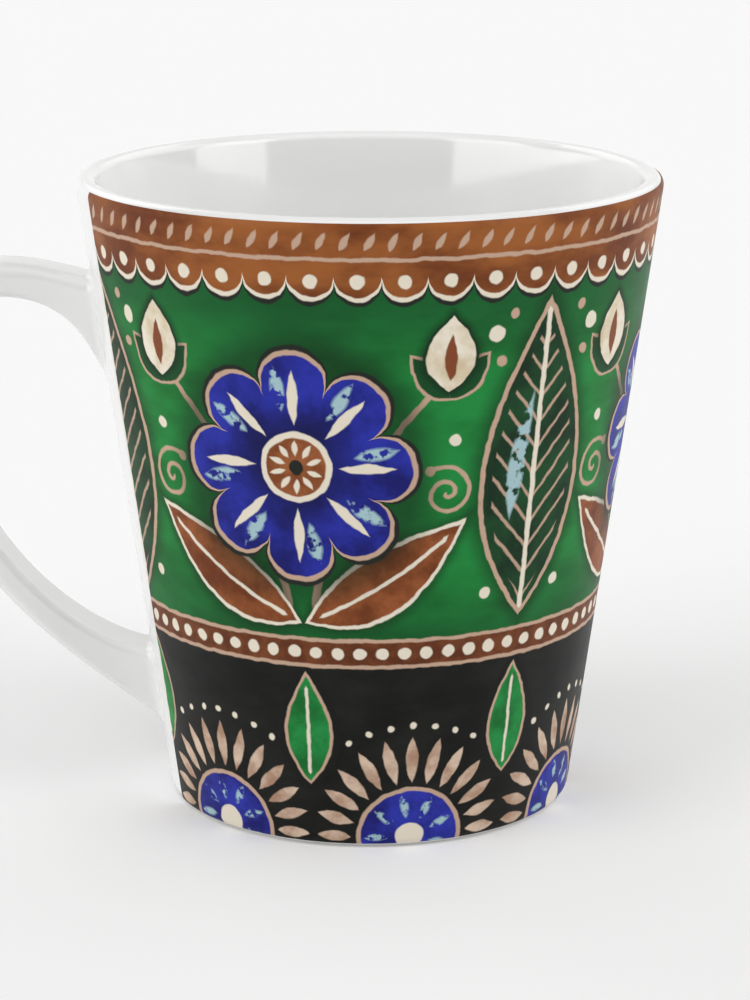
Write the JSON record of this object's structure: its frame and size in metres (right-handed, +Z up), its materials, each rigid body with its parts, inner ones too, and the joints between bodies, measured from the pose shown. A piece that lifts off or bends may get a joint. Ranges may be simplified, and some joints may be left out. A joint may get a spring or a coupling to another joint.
{
  "type": "tapered clay mug",
  "caption": "Tapered mug of fired clay with a luted ear-shaped strap handle, white glaze and a printed wrap; holds a hot or cold drink.",
  "frame": {"origin": "centre of the foot ring, on the table that the mug stands on", "axes": "+Z up along the cup's axis; the handle points to -X; +Y is across the handle"},
  "size_m": [0.116, 0.0896, 0.098],
  "materials": {
    "clay": "matte",
    "slip": "matte",
    "glaze": "gloss",
    "print": "gloss"
  },
  "bodies": {
    "root": {"cup_body": "clay", "handle": "clay", "upper_slip_joint": "slip", "lower_slip_joint": "slip", "inside_glaze": "glaze", "outside_glaze": "glaze", "handle_glaze": "glaze", "foot_recess_glaze": "glaze", "printed_wrap": "print"}
  },
  "joints": []
}
